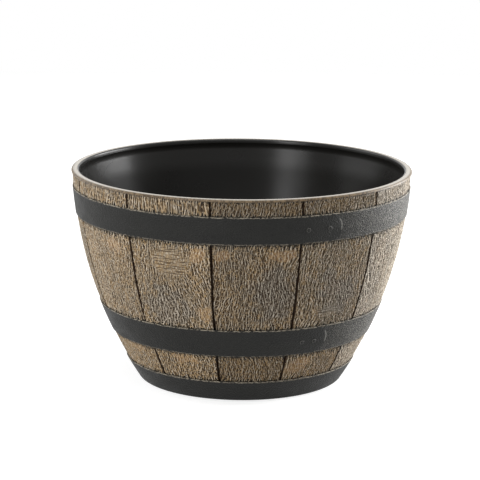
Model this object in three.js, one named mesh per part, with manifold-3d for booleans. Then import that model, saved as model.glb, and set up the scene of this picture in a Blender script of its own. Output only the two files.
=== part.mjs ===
// Barrel planter: a black moulded pot, clad in curved staves that taper to the foot and
// bound by two lapped and riveted hoops and a base hoop that wraps under the staves.
// Millimetres, +Z up. The origin is the centre of the foot ring on the ground, the front
// faces -Y, and angles are measured from the front towards +X.

import * as THREE from 'three';
import { mergeVertices } from 'three/addons/utils/BufferGeometryUtils.js';
import Module from 'manifold-3d';

const wasm = await Module();
wasm.setup();

const degrees = Math.PI / 180;

// ---------------------------------------------------------------- driving dimensions

// The barrel's outline. The stave faces bulge on one radius from the foot to the rim.
const height = 245; // ground to the top of the lip
const rimRadius = 195; // outside of the lip
const staveFootRadius = 115; // the stave faces carried down to the ground
const bulgeRadius = 480;

// Clearance between pieces that seat on each other.
const seatGap = 0.3;

// Staves
const staveCount = 12;
const firstGroove = -10 * degrees;
const staveThickness = 4;
const staveSpacing = 0.3; // between the edges of two staves
const grooveWidth = 2.8; // across the V that two bevelled edges make
const grooveDepth = 2;

// Pot
const potWall = 2.6;
const lipOverhang = 1.2; // how far the lip stands out from the stave faces
const lipThickness = 2;
const lipEdgeRadius = 2.3;
const skirtDrop = 0.8; // the lip's edge hangs this far below its underside
const rimBandHeight = 9;
const rimBandThickness = 0.6; // the wall is this much thicker just inside the rim
const floorThickness = 3;
const floorFall = 0.8; // from the wall down to the drain
const floorFillet = 9;
const ledgeThickness = 2; // the ledge that the staves stand on
const ledgeInset = 1.2; // its edge, behind the stave faces
const footInset = 9; // the foot ring, behind the edge of the ledge
const footWidth = 7;
const notchCount = 4; // drain ways under the foot ring
const notchWidth = 14;
const notchDepth = 1.5;
const drainRadius = 8;

// Drain plug
const plugClearance = 0.3;
const plugFlangeOverlap = 5;
const plugFlangeThickness = 1.6;
const plugFlangeChamfer = 0.8;
const plugReach = 0.8; // below the floor's underside
const tabWidth = 15;
const tabThickness = 3;
const tabHeight = 9;
const tabRoot = 0.8; // how deep the tab starts in the flange

// Hoops
const strapThickness = 0.9;
const baseHoopThickness = 1.2;
const baseHoopLift = 0.4; // ground to the underside of the base hoop
const baseHoopTop = 26.4;
const baseHoopCurl = 2.4; // height of its rounded lower edge
const baseHoopTuck = 3.2; // how far it runs in under the ledge
const topHoop = {
  middle: height - 34.85,
  width: 30.9,
  lapTip: 34.4 * degrees,
  rivetSpacing: 26,
};
const lowerHoop = {
  middle: 0.313 * height,
  width: 32.9,
  lapTip: 36.6 * degrees,
  rivetSpacing: 15,
};
const lapLength = 58; // over which the strap's two ends lie on each other
const joggleLength = 13; // over which the outer end steps up onto the inner one
const joggleClearance = 2; // from the step to the inner end
const tipSweep = 80 * degrees; // how far each side of the tip rounds before its flat end
const rivetSetback = 15.5; // rounded tip to the first rivet

// Rivets
const rivetCount = 2; // in each lap
const shankRadius = 1.2;
const rivetHeadRadius = 2.4;
const rivetHeadHeight = 1;
const rivetHeadGap = 0.2;
const rivetHoleClearance = 0.3;

// Fineness of the facets. Every piece shares the facets of the staves, so that pieces that
// lie on each other keep an even gap.
const facetsPerStave = 6;
const wallRows = 8;
const lipEdgeFacets = 3;
const bendFacets = 3;
const tipFacets = 5;
const plugFacets = 24;
const tabFacets = 8;
const rivetFacets = 12;
const domeFacets = 3;
const leastRow = 0.25; // least height of an end row, as a share of a full row
const leastStation = 0.2; // least distance between a strap's stations, in facets
const weldDistance = 1e-4; // vertices closer than this are one

// ---------------------------------------------------------------- sizes that follow

const stavePitch = 2 * Math.PI / staveCount;
const facetAngle = stavePitch / facetsPerStave;
const staveTopRadius = rimRadius - lipOverhang;
const strapLift = strapThickness + seatGap;

const footHeight = baseHoopLift + baseHoopThickness + seatGap;
const ledgeTop = footHeight + ledgeThickness;
const staveFoot = ledgeTop + seatGap;
const lipUnderside = height - lipThickness;
const staveTop = lipUnderside - seatGap;

// Centre of the bulge, in the plane of radius and height.
const chord = Math.hypot(staveTopRadius - staveFootRadius, height);
const chordToCentre = Math.sqrt(bulgeRadius ** 2 - (chord / 2) ** 2);
const bulge = {
  r: (staveTopRadius + staveFootRadius) / 2 - chordToCentre * height / chord,
  z: height / 2 + chordToCentre * (staveTopRadius - staveFootRadius) / chord,
};

// Radius of the surface that lies `depth` behind the stave faces, at height z.
function barrelRadius(z, depth) {
  return bulge.r + Math.sqrt((bulgeRadius - depth) ** 2 - (z - bulge.z) ** 2);
}

// The heights of the rows of facets from low to high.
function rowHeights(low, high) {
  const rowHeight = height / wallRows;
  const clearance = leastRow * rowHeight;
  const heights = [low];
  for (let row = 1; row < wallRows; row += 1) {
    const z = row * rowHeight;
    if (z > low + clearance && z < high - clearance) heights.push(z);
  }
  heights.push(high);
  return heights;
}

// ---------------------------------------------------------------- geometry helpers

function at(radius, angle, z) {
  return new THREE.Vector3(radius * Math.sin(angle), -radius * Math.cos(angle), z);
}

// A geometry with its shared vertices merged and its collapsed triangles left out.
function weld(geometry) {
  const bare = geometry.clone();
  bare.deleteAttribute('normal');
  bare.deleteAttribute('uv');
  const welded = mergeVertices(bare, weldDistance);
  const index = [...welded.index.array];
  const kept = [];
  for (let i = 0; i < index.length; i += 3) {
    const [a, b, c] = index.slice(i, i + 3);
    if (a !== b && b !== c && c !== a) kept.push(a, b, c);
  }
  welded.setIndex(kept);
  return welded;
}

// A profile of [radius, height] pairs turned about Z. It runs up the outside and down the
// inside, and starts and ends on the axis or closes on itself.
function revolve(profile, segments) {
  const points = profile.map(([r, z]) => new THREE.Vector2(r, z));
  const turned = new THREE.LatheGeometry(points, segments, firstGroove);
  return weld(turned.rotateX(Math.PI / 2));
}

function revolveRing(profile) {
  return revolve([...profile, profile[0]], staveCount * facetsPerStave);
}

// A skin through rings of points, capped at both ends. Each ring is a band: its first and
// second half are the band's two long sides, so a strip between them makes the cap.
function loft(rings) {
  const size = rings[0].length;
  const index = [];
  const quad = (a, b, c, d) => index.push(a, b, c, a, c, d);
  for (let ring = 0; ring + 1 < rings.length; ring += 1) {
    for (let i = 0; i < size; i += 1) {
      const next = (i + 1) % size;
      const here = ring * size;
      quad(here + i, here + next, here + size + next, here + size + i);
    }
  }
  const last = (rings.length - 1) * size;
  for (let i = 0; i + 1 < size / 2; i += 1) {
    quad(size - 1 - i, size - 2 - i, i + 1, i);
    quad(last + i, last + i + 1, last + size - 2 - i, last + size - 1 - i);
  }
  const geometry = new THREE.BufferGeometry().setFromPoints(rings.flat());
  geometry.setIndex(index);
  return geometry;
}

function toSolid(geometry) {
  const welded = weld(geometry);
  return new wasm.Manifold(new wasm.Mesh({
    numProp: 3,
    vertProperties: welded.attributes.position.array,
    triVerts: new Uint32Array(welded.index.array),
  }));
}

function toGeometry(solid) {
  const mesh = solid.getMesh();
  const geometry = new THREE.BufferGeometry();
  geometry.setAttribute('position', new THREE.BufferAttribute(mesh.vertProperties, 3));
  geometry.setIndex(new THREE.BufferAttribute(mesh.triVerts, 1));
  return geometry;
}

function cut(geometry, tools) {
  return toGeometry(tools.reduce((body, tool) => body.subtract(toSolid(tool)), toSolid(geometry)));
}

function join(first, second) {
  return toGeometry(toSolid(first).add(toSolid(second)));
}

// Points on the quarter round of the lip's edge, as [radius, height] pairs.
function lipRound(centreR, centreZ, fromAngle) {
  const points = [];
  for (let step = 0; step <= lipEdgeFacets; step += 1) {
    const angle = fromAngle + step * Math.PI / 2 / lipEdgeFacets;
    points.push([
      centreR + lipEdgeRadius * Math.cos(angle),
      centreZ + lipEdgeRadius * Math.sin(angle),
    ]);
  }
  return points;
}

// Points on a bend that leaves `start` towards `corner` and arrives at `end`.
function bend(start, corner, end) {
  const [a, b, c] = [start, corner, end].map(([r, z]) => new THREE.Vector2(r, z));
  return new THREE.QuadraticBezierCurve(a, b, c).getPoints(bendFacets).map((p) => [p.x, p.y]);
}

function material(color, roughness, metalness = 0) {
  return new THREE.MeshStandardMaterial({ color, roughness, metalness });
}

function piece(name, geometry, finish) {
  const mesh = new THREE.Mesh(geometry, finish);
  mesh.name = name;
  return mesh;
}

// ---------------------------------------------------------------- the pieces

const wallOuterDepth = staveThickness + seatGap;
const wallInnerDepth = wallOuterDepth + potWall;
const floorTop = footHeight + floorThickness;
const drainSeat = floorTop - floorFall;
const plugFlangeRadius = drainRadius + plugFlangeOverlap;

// The pot: foot ring, ledge, wall, rolled lip, and a floor that falls to the drain.
function potProfile() {
  const ledgeRadius = barrelRadius(ledgeTop, ledgeInset);
  const footRadius = ledgeRadius - footInset;
  const foot = [
    [footRadius, 0],
    [footRadius, footHeight],
    [ledgeRadius - ledgeThickness, footHeight],
    [ledgeRadius, ledgeTop],
  ];
  const outside = rowHeights(ledgeTop, lipUnderside)
    .map((z) => [barrelRadius(z, wallOuterDepth), z]);

  const skirtRadius = staveTopRadius + seatGap;
  const bandRadius = barrelRadius(height, wallInnerDepth + rimBandThickness);
  const edgeCentre = height - lipEdgeRadius;
  const lip = [
    [skirtRadius, lipUnderside],
    [skirtRadius, lipUnderside - skirtDrop],
    [rimRadius, lipUnderside - skirtDrop],
    ...lipRound(rimRadius - lipEdgeRadius, edgeCentre, 0),
    ...lipRound(bandRadius + lipEdgeRadius, edgeCentre, Math.PI / 2),
  ];

  const bandFoot = height - rimBandHeight;
  const filletTop = floorTop + floorFillet;
  const band = [[barrelRadius(bandFoot, wallInnerDepth + rimBandThickness), bandFoot]];
  const inside = rowHeights(filletTop, bandFoot - rimBandThickness)
    .reverse()
    .map((z) => [barrelRadius(z, wallInnerDepth), z]);
  const fillet = bend(
    inside[inside.length - 1],
    [barrelRadius(floorTop, wallInnerDepth), floorTop],
    [barrelRadius(floorTop, wallInnerDepth) - floorFillet, floorTop],
  ).slice(1);

  const drain = [
    [plugFlangeRadius + floorFall, drainSeat],
    [drainRadius, drainSeat],
    [drainRadius, footHeight],
    [footRadius - footWidth, footHeight],
    [footRadius - footWidth, 0],
  ];
  return [...foot, ...outside, ...lip, ...band, ...inside, ...fillet, ...drain];
}

function pot() {
  const reach = barrelRadius(0, 0);
  const notches = [];
  for (let i = 0; i < notchCount; i += 1) {
    const notch = new THREE.BoxGeometry(reach, notchWidth, 2 * notchDepth);
    notch.translate(reach / 2 + drainRadius, 0, 0);
    notch.rotateZ((i + 0.5) * 2 * Math.PI / notchCount);
    notches.push(notch);
  }
  return piece('pot', cut(revolveRing(potProfile()), notches), material(0x1b1b1b, 0.25));
}

// One level outline of a stave: its face, then its back, with a bevel at each edge.
function staveOutline(z) {
  const edgeAngle = (radius, inset) => stavePitch / 2 - inset / radius;
  const across = (radius, inset) => {
    const edge = edgeAngle(radius, inset);
    const angles = [-edge];
    for (let facet = 1; facet < facetsPerStave; facet += 1) {
      angles.push(facet * facetAngle - stavePitch / 2);
    }
    angles.push(edge);
    return angles.map((angle) => at(radius, angle, z));
  };
  const valley = barrelRadius(z, grooveDepth);
  const valleyEdge = edgeAngle(valley, staveSpacing / 2);
  return [
    ...across(barrelRadius(z, 0), grooveWidth / 2),
    at(valley, valleyEdge, z),
    ...across(barrelRadius(z, staveThickness), staveSpacing / 2).reverse(),
    at(valley, -valleyEdge, z),
  ];
}

function staves() {
  const geometry = loft(rowHeights(staveFoot, staveTop).map(staveOutline));
  const group = new THREE.Group();
  for (let i = 0; i < staveCount; i += 1) {
    const name = `stave_${String(i + 1).padStart(2, '0')}`;
    const stave = piece(name, geometry, material(0x86725e, 0.75));
    stave.rotation.z = firstGroove + (i + 0.5) * stavePitch;
    group.add(stave);
  }
  return group;
}

// The base hoop runs down over the feet of the staves and turns in under the ledge.
function baseHoop() {
  const outerDepth = -seatGap - baseHoopThickness;
  const innerBottom = baseHoopLift + baseHoopThickness;
  const curlTop = baseHoopLift + baseHoopCurl;
  const rows = rowHeights(curlTop, baseHoopTop);
  const corner = (z, depth) => [barrelRadius(z, depth), z];
  const tuckRadius = barrelRadius(baseHoopLift, outerDepth) - baseHoopTuck;
  const outerBend = bend(
    [tuckRadius, baseHoopLift],
    corner(baseHoopLift, outerDepth),
    corner(curlTop, outerDepth),
  );
  const innerBend = bend(
    corner(curlTop, -seatGap),
    corner(innerBottom, -seatGap),
    [tuckRadius, innerBottom],
  );
  const profile = [
    ...outerBend,
    ...rows.slice(1).map((z) => corner(z, outerDepth)),
    ...rows.slice(1).reverse().map((z) => corner(z, -seatGap)),
    ...innerBend,
  ];
  return piece('base_hoop', revolveRing(profile), material(0x35332f, 0.6, 0.4));
}

// A strap's section at one angle: up its inner side and down its outer side. `lift` raises
// it off the stave faces, and `halfHeight` narrows it towards a rounded end.
function strapSection(hoop, { angle, lift, halfHeight }) {
  const heights = [hoop.middle - halfHeight, hoop.middle, hoop.middle + halfHeight];
  const innerDepth = -seatGap - lift;
  const outerDepth = innerDepth - strapThickness;
  return [
    ...heights.map((z) => at(barrelRadius(z, innerDepth), angle, z)),
    ...heights.reverse().map((z) => at(barrelRadius(z, outerDepth), angle, z)),
  ];
}

// The sections along a strap, from its square inner end once round the barrel, up the step
// and over the inner end to its rounded tip.
function strapStations(hoop) {
  const halfHeight = hoop.width / 2;
  const radius = barrelRadius(hoop.middle, 0);
  const turn = 2 * Math.PI;
  const innerEnd = hoop.lapTip - lapLength / radius;
  const stepTop = turn + innerEnd - joggleClearance / radius;
  const stepFoot = stepTop - joggleLength / radius;
  const roundCentre = turn + hoop.lapTip - halfHeight / radius;

  const stations = [
    { angle: innerEnd, lift: 0, halfHeight },
    { angle: stepFoot, lift: 0, halfHeight },
    { angle: stepTop, lift: strapLift, halfHeight },
  ];
  for (let step = 0; step <= tipFacets; step += 1) {
    const slope = step * tipSweep / tipFacets;
    stations.push({
      angle: roundCentre + halfHeight * Math.sin(slope) / radius,
      lift: strapLift,
      halfHeight: halfHeight * Math.cos(slope),
    });
  }
  const fixed = stations.map((station) => station.angle);
  const clearance = leastStation * facetAngle;
  const clear = (angle) => fixed.every((other) => Math.abs(other - angle) > clearance);
  const firstFacet = Math.ceil((innerEnd - firstGroove) / facetAngle);
  for (let facet = firstFacet; ; facet += 1) {
    const angle = firstGroove + facet * facetAngle;
    if (angle > roundCentre) break;
    const onStep = angle > stepFoot && angle < stepTop;
    const lift = angle > stepTop ? strapLift : 0;
    if (clear(angle) && !onStep) stations.push({ angle, lift, halfHeight });
  }
  return stations.sort((a, b) => a.angle - b.angle);
}

// The frame of a rivet: on the stave face in the middle of the strap, +Z straight out.
function rivetFrame(hoop, index) {
  const radius = barrelRadius(hoop.middle, 0);
  const angle = hoop.lapTip - (rivetSetback + index * hoop.rivetSpacing) / radius;
  const slope = Math.asin((hoop.middle - bulge.z) / bulgeRadius);
  const outward = at(Math.cos(slope), angle, Math.sin(slope));
  const turn = new THREE.Quaternion().setFromUnitVectors(new THREE.Vector3(0, 0, 1), outward);
  return { position: at(radius, angle, hoop.middle), turn };
}

// A strap hoop with its lap, and the rivets through the two thicknesses of the lap.
function strapHoop(name, hoop) {
  const group = new THREE.Group();
  const holeRadius = shankRadius + rivetHoleClearance;
  const headSeat = seatGap + strapThickness + strapLift + rivetHeadGap;
  const holeLength = 3 * headSeat; // through both thicknesses and clear of them
  const rivetProfile = [
    [0, seatGap],
    [shankRadius, seatGap],
    [shankRadius, headSeat],
  ];
  for (let step = 0; step <= domeFacets; step += 1) {
    const angle = step * Math.PI / 2 / domeFacets;
    rivetProfile.push([
      step < domeFacets ? rivetHeadRadius * Math.cos(angle) : 0,
      headSeat + rivetHeadHeight * Math.sin(angle),
    ]);
  }
  const holes = [];
  for (let i = 0; i < rivetCount; i += 1) {
    const { position, turn } = rivetFrame(hoop, i);
    const hole = new THREE.CylinderGeometry(holeRadius, holeRadius, holeLength, rivetFacets);
    hole.rotateX(Math.PI / 2);
    hole.applyQuaternion(turn);
    hole.translate(position.x, position.y, position.z);
    holes.push(hole);
    const rivet = piece(
      `${name}_rivet_${i + 1}`,
      revolve(rivetProfile, rivetFacets),
      material(0x3a3834, 0.5, 0.4),
    );
    rivet.position.copy(position);
    rivet.quaternion.copy(turn);
    group.add(rivet);
  }
  const strap = loft(strapStations(hoop).map((station) => strapSection(hoop, station)));
  group.add(piece(name, cut(strap, holes), material(0x35332f, 0.6, 0.4)));
  return group;
}

// The plug is pushed into the drain from inside the pot and pulled out by its tab.
function drainPlug() {
  const shank = drainRadius - plugClearance;
  const flangeFoot = drainSeat + seatGap;
  const flangeTop = flangeFoot + plugFlangeThickness;
  const body = revolve([
    [0, footHeight - plugReach],
    [shank - plugReach, footHeight - plugReach],
    [shank, footHeight],
    [shank, flangeFoot],
    [plugFlangeRadius, flangeFoot],
    [plugFlangeRadius, flangeTop - plugFlangeChamfer],
    [plugFlangeRadius - plugFlangeChamfer, flangeTop],
    [0, flangeTop],
  ], plugFacets);

  const outline = new THREE.Shape();
  const roundCentre = tabRoot + tabHeight - tabWidth / 2;
  outline.moveTo(-tabWidth / 2, 0);
  outline.lineTo(tabWidth / 2, 0);
  outline.lineTo(tabWidth / 2, roundCentre);
  outline.absarc(0, roundCentre, tabWidth / 2, 0, Math.PI, false);
  const tab = new THREE.ExtrudeGeometry(outline, {
    depth: tabThickness,
    bevelEnabled: false,
    curveSegments: tabFacets,
  });
  tab.translate(0, 0, -tabThickness / 2);
  tab.rotateX(Math.PI / 2);
  tab.translate(0, 0, flangeTop - tabRoot);
  return piece('drain_plug', join(body, tab), material(0x262626, 0.85));
}

const planter = new THREE.Group();
planter.add(pot());
planter.add(staves());
planter.add(baseHoop());
planter.add(strapHoop('lower_hoop', lowerHoop));
planter.add(strapHoop('top_hoop', topHoop));
planter.add(drainPlug());

export default planter;
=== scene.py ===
"""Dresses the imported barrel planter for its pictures.

Metres, +Z up; the front faces -Y, and angles are measured from the front towards +X.
Each rigid piece of the frame gets a finer stand-in of the same form, built here in
millimetres: staves with moulded wood relief, dark straps with hammered faces and laps,
a smooth black pot with a painted lip, rivets and the drain plug.
"""

import math

import bpy
import numpy as np
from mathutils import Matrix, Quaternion, Vector


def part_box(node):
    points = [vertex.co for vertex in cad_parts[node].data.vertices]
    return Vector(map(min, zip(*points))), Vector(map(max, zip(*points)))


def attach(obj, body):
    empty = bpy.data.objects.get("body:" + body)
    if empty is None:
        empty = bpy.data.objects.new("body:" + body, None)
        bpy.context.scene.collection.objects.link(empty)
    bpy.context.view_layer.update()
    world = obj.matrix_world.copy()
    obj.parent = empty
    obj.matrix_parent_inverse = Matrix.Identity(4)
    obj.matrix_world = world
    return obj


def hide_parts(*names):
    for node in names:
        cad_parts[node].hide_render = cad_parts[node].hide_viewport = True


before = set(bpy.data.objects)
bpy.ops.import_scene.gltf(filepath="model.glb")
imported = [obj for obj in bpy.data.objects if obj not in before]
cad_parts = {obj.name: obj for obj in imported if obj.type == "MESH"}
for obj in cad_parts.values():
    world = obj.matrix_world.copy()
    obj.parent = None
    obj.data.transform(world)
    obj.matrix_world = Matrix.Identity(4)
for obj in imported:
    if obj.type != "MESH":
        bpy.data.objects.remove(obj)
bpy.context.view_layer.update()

MM = 0.001
TURN = 2 * math.pi
SEED = 12

# ------------------------------------------------------------------ sizes from the frame (mm)


def box_mm(node):
    """A CAD node's lowest and highest corner."""
    low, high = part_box(node)
    return np.array(low) / MM, np.array(high) / MM


def levels(node):
    """The heights of a CAD node's underside and top."""
    low, high = box_mm(node)
    return low[2], high[2]


RIM_RADIUS, _, HEIGHT = box_mm("pot")[1]
STAVES = [name for name in sorted(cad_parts) if name.startswith("stave_")]
STAVE_FOOT, STAVE_TOP = levels(STAVES[0])
HOOPS = {name: levels(name) for name in ("top_hoop", "lower_hoop", "base_hoop")}
PLUG_FOOT, PLUG_TOP = levels("drain_plug")

# ------------------------------------------------------------------ the barrel's outline (mm)

SEAT_GAP = 0.3
LIP_OVERHANG = 1.2
FOOT_RADIUS = 115.0
BULGE_RADIUS = 480.0

SPREAD = RIM_RADIUS - LIP_OVERHANG - FOOT_RADIUS
CHORD = math.hypot(SPREAD, HEIGHT)
CHORD_TO_CENTRE = math.sqrt(BULGE_RADIUS**2 - (CHORD / 2) ** 2)
BULGE_R = FOOT_RADIUS + SPREAD / 2 - CHORD_TO_CENTRE * HEIGHT / CHORD
BULGE_Z = HEIGHT / 2 + CHORD_TO_CENTRE * SPREAD / CHORD


def barrel_radius(z, depth=0.0):
    """Radius of the surface that lies `depth` behind the stave faces, at height z."""
    return BULGE_R + np.sqrt((BULGE_RADIUS - depth) ** 2 - (z - BULGE_Z) ** 2)


def along(z):
    """Length along the stave faces from the ground to height z."""
    foot = math.asin(BULGE_Z / BULGE_RADIUS)
    return BULGE_RADIUS * (foot - np.arcsin((BULGE_Z - z) / BULGE_RADIUS))


def around(radius, angle, z):
    """Points at these radii, angles and heights."""
    radius, angle, z = np.broadcast_arrays(radius, angle, z)
    return np.stack([radius * np.sin(angle), -radius * np.cos(angle), z], axis=-1)


# ------------------------------------------------------------------ seeded noise


def smooth_share(position):
    """Whole cells and the eased share of the way to the next one."""
    cell = np.floor(position).astype(int)
    share = position - cell
    return cell, share * share * (3 - 2 * share)


def field(x, y, period_x, period_y, seed):
    """Smooth noise from -1 to 1 over a plane."""
    knots = np.random.default_rng(seed).uniform(-1, 1, (64, 64))
    i, u = smooth_share(np.asarray(x) / period_x)
    j, v = smooth_share(np.asarray(y) / period_y)
    low = knots[i % 64, j % 64] * (1 - u) + knots[(i + 1) % 64, j % 64] * u
    high = knots[i % 64, (j + 1) % 64] * (1 - u) + knots[(i + 1) % 64, (j + 1) % 64] * u
    return low * (1 - v) + high * v


def ring_noise(angle, count, seed):
    """Smooth noise from -1 to 1 round a full turn, from `count` knots."""
    knots = np.random.default_rng(seed).uniform(-1, 1, count)
    i, u = smooth_share((np.asarray(angle) % TURN) / TURN * count)
    return knots[i % count] * (1 - u) + knots[(i + 1) % count] * u


# ------------------------------------------------------------------ mesh helpers


def skin(grid, closed_rows=False, caps=False):
    """Vertices and faces over a grid of points [row, column] whose columns close up."""
    rows, columns = grid.shape[:2]
    index = np.arange(rows * columns).reshape(rows, columns)
    lower = index if closed_rows else index[:-1]
    upper = np.roll(index, -1, axis=0) if closed_rows else index[1:]
    corners = [lower, np.roll(lower, -1, axis=1), np.roll(upper, -1, axis=1), upper]
    faces = np.stack(corners, axis=-1).reshape(-1, 4).tolist()
    if caps:
        faces.append(index[0][::-1].tolist())
        faces.append(index[-1].tolist())
    return grid.reshape(-1, 3), faces


def revolve(profile, segments):
    """A grid of points from a profile of [radius, height] turned about Z."""
    profile = np.array(profile, dtype=float)
    turn = np.linspace(0, TURN, segments, endpoint=False)[:, None]
    return around(profile[None, :, 0], turn, profile[None, :, 1])


# The radius at which a turned form's end closes up (mm).
AXIS = 0.02


def arc(centre_r, centre_z, radius, start, end, steps):
    """Points of [radius, height] on an arc, with its angles in degrees."""
    angles = np.radians(np.linspace(start, end, steps))
    return [[centre_r + radius * math.cos(a), centre_z + radius * math.sin(a)] for a in angles]


def bend(start, corner, end, steps):
    """Points of [radius, height] on a curve that leaves and arrives along its corner."""
    share = np.linspace(0, 1, steps)[:, None]
    a, b, c = (np.array(point, dtype=float) for point in (start, corner, end))
    return (a * (1 - share) ** 2 + 2 * b * share * (1 - share) + c * share**2).tolist()


def on_barrel(z, depth):
    """The point [radius, height] that lies `depth` behind the stave faces at height z."""
    return [float(barrel_radius(z, depth)), float(z)]


def barrel_profile(low, high, depth, steps):
    """Points of [radius, height] along the barrel's curve, `depth` behind the stave faces."""
    return [on_barrel(z, depth) for z in np.linspace(low, high, steps)]


def add_piece(name, vertices, faces, material, slot, node, body="planter"):
    """A smooth-shaded piece that stands for a CAD node."""
    mesh = bpy.data.meshes.new(name)
    mesh.from_pydata((vertices * MM).tolist(), [], faces)
    mesh.polygons.foreach_set("use_smooth", np.ones(len(mesh.polygons), dtype=bool))
    mesh.materials.append(material)
    piece = bpy.data.objects.new(name, mesh)
    bpy.context.collection.objects.link(piece)
    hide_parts(node)
    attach(piece, body)
    return piece


def set_attribute(piece, name, *parts):
    """Stores a vector for each vertex, from three grids of numbers."""
    values = np.stack(np.broadcast_arrays(*parts), axis=-1).astype(np.float32)
    attribute = piece.data.attributes.new(name, "FLOAT_VECTOR", "POINT")
    attribute.data.foreach_set("vector", np.ascontiguousarray(values).ravel())


# ------------------------------------------------------------------ node helpers


# Sockets that share their name with others on the node, and so go by number.
GABOR_ANGLE = 4
MIX_A = 6
MIX_B = 7
MIX_RESULT = 2


class Graph:
    """Adds nodes to a shader or geometry tree. Each method returns the new output."""

    def __init__(self, tree):
        self.tree = tree

    def add(self, kind, inputs, output=0, **settings):
        node = self.tree.nodes.new(kind)
        for key, value in settings.items():
            setattr(node, key, value)
        for socket, value in inputs.items():
            if isinstance(value, bpy.types.NodeSocket):
                self.tree.links.new(value, node.inputs[socket])
            else:
                node.inputs[socket].default_value = value
        return node.outputs[output]

    def math(self, operation, a, b=0.0):
        return self.add("ShaderNodeMath", {0: a, 1: b}, operation=operation)

    def times(self, a, b):
        return self.math("MULTIPLY", a, b)

    def plus(self, a, b):
        return self.math("ADD", a, b)

    def most(self, *values):
        """The greatest of the values."""
        top = values[0]
        for value in values[1:]:
            top = self.math("MAXIMUM", top, value)
        return top

    def scaled(self, vector, x, y, z=1.0, offset=(0.0, 0.0, 0.0)):
        """The vector, divided by a feature size each way. The offset moves the texture that
        it is for, so that no two textures line up."""
        moved = self.add("ShaderNodeVectorMath", {0: vector, 1: offset}, operation="ADD")
        sizes = {0: moved, 1: (1 / x, 1 / y, 1 / z)}
        return self.add("ShaderNodeVectorMath", sizes, operation="MULTIPLY")

    def noise(self, vector, detail=0.0):
        """Noise about 0.5, mostly from 0.3 to 0.7."""
        inputs = {"Vector": vector, "Scale": 1.0, "Detail": detail}
        return self.add("ShaderNodeTexNoise", inputs)

    def gabor(self, vector, orientation=0.0):
        """Short waves, one unit of the vector from crest to crest."""
        inputs = {"Vector": vector, "Scale": 1.0, "Frequency": 1.0, "Anisotropy": 1.0}
        inputs[GABOR_ANGLE] = orientation
        return self.add("ShaderNodeTexGabor", inputs)

    def ramp(self, value, low, high, start=0.0, end=1.0):
        """start below low, end above high, and a smooth step between."""
        inputs = {"Value": value, "From Min": low, "From Max": high}
        inputs.update({"To Min": start, "To Max": end})
        return self.add("ShaderNodeMapRange", inputs, interpolation_type="SMOOTHSTEP")

    def mix(self, factor, a, b):
        """Colour a where the factor is 0, and colour b where it is 1."""
        inputs = {0: factor, MIX_A: a, MIX_B: b}
        return self.add("ShaderNodeMix", inputs, output=MIX_RESULT, data_type="RGBA")

    def parts(self, vector):
        """The three numbers of a vector."""
        node = self.tree.nodes.new("ShaderNodeSeparateXYZ")
        self.tree.links.new(vector, node.inputs[0])
        return node.outputs

    def vector(self, x, y, z):
        return self.add("ShaderNodeCombineXYZ", {0: x, 1: y, 2: z})


def colour(red, green, blue):
    """An sRGB colour, 0 to 255, as the linear colour that a socket takes."""

    def linear(value):
        share = value / 255
        return share / 12.92 if share <= 0.04045 else ((share + 0.055) / 1.055) ** 2.4

    return (linear(red), linear(green), linear(blue), 1.0)


class Material:
    """A material with a Principled shader, and the attributes that the meshes carry."""

    def __init__(self, name, roughness, specular=0.5):
        self.data = bpy.data.materials.new(name)
        self.data.use_nodes = True
        self.tree = self.data.node_tree
        self.graph = Graph(self.tree)
        self.shader = self.tree.nodes["Principled BSDF"]
        self.shader.inputs["Roughness"].default_value = roughness
        self.shader.inputs["Specular IOR Level"].default_value = specular

    def attribute(self, name):
        """A vector that the mesh carries at each vertex."""
        return self.graph.add("ShaderNodeAttribute", {}, output=1, attribute_name=name)

    def link(self, socket, output):
        self.tree.links.new(output, self.shader.inputs[socket])

    def bump(self, height, millimetres, strength=1.0):
        inputs = {"Height": height, "Distance": millimetres * MM, "Strength": strength}
        self.link("Normal", self.graph.add("ShaderNodeBump", inputs))


# ------------------------------------------------------------------ wood relief

# Sizes of the relief's features across and along a stave (mm).
WOBBLE_SIZE = (6, 5.5)
DASH_SIZE = (2.8, 4.6)
HAIR_SIZE = (1.9, 2.9)
CRACK_SIZE = (5.0, 20)
BREAK_SIZE = (2.6, 1.5)
SAW_MARK_SIZE = (12, 2.9)
SWELL_SIZE = (22, 60)
# How far each feature moves or raises the face (mm).
WOBBLE = 1.8
SWELL_HEIGHT = 0.8
RIDGE_HEIGHT = 0.25
GROOVE_RELIEF = 0.9
SAW_MARK_RELIEF = 0.5
# How much of the grain is gone where a patch is worn smooth or sawn across.
WORN_FLATNESS = 0.35
SAWN_FLATNESS = 0.7


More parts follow.
